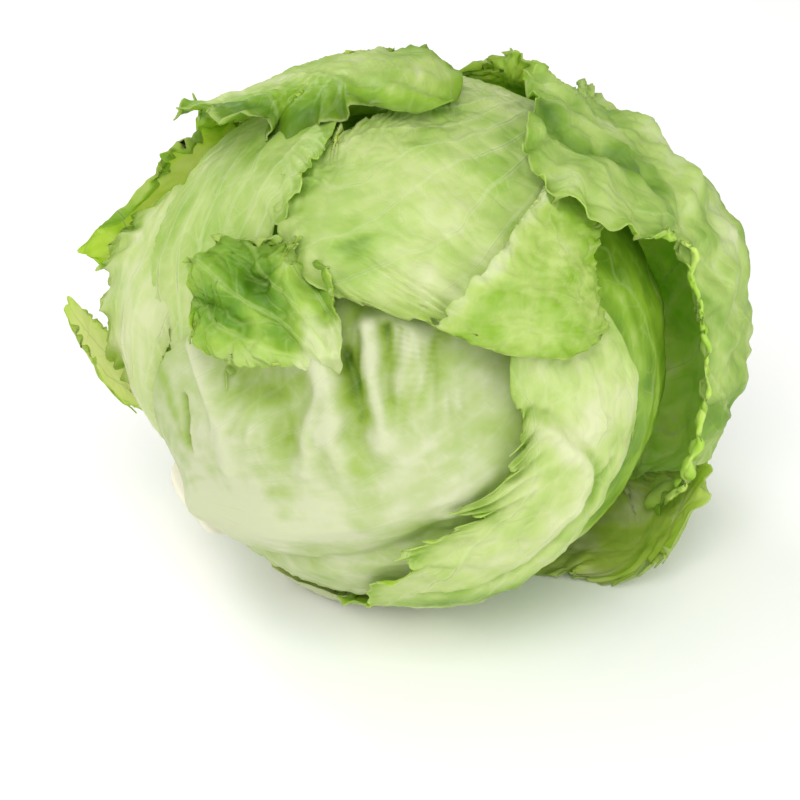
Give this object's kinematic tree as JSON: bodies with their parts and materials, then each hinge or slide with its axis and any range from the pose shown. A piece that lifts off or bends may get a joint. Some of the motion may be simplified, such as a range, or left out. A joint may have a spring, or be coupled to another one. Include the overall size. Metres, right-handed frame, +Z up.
{
  "type": "iceberg lettuce",
  "caption": "Whole iceberg lettuce lying on its side, a tight round heart wrapped in pale ribbed leaves, with loose frilled outer leaves and a cut stem.",
  "frame": {"origin": "middle of the flat patch under the head that it rests on", "axes": "+Z up, +X towards the loose leaf on the right, -Y towards the front leaf; the stem is on the -X side"},
  "size_m": [0.2272, 0.1791, 0.1829],
  "materials": {
    "heart": "satin",
    "stem": "matte",
    "leaf_rib": "satin",
    "leaf_pale": "satin",
    "leaf_green": "satin",
    "leaf_deep": "satin",
    "leaf_outer": "satin"
  },
  "bodies": {
    "root": {"heart": "heart", "stem": "stem", "right_wrap_leaf": "leaf_green", "back_high_leaf": "leaf_pale", "back_low_leaf": "leaf_green", "front_leaf": "leaf_rib", "right_front_leaf": "leaf_pale", "left_wide_leaf": "leaf_pale", "far_left_leaf": "leaf_pale", "crumpled_leaf": "leaf_deep", "crown_side_leaf": "leaf_green", "crown_leaf": "leaf_pale", "top_knot_leaf": "leaf_deep", "back_left_leaf": "leaf_green", "low_left_leaf": "leaf_pale", "top_left_leaf": "leaf_green", "top_right_leaf": "leaf_outer", "under_leaf": "leaf_rib"}
  },
  "joints": []
}
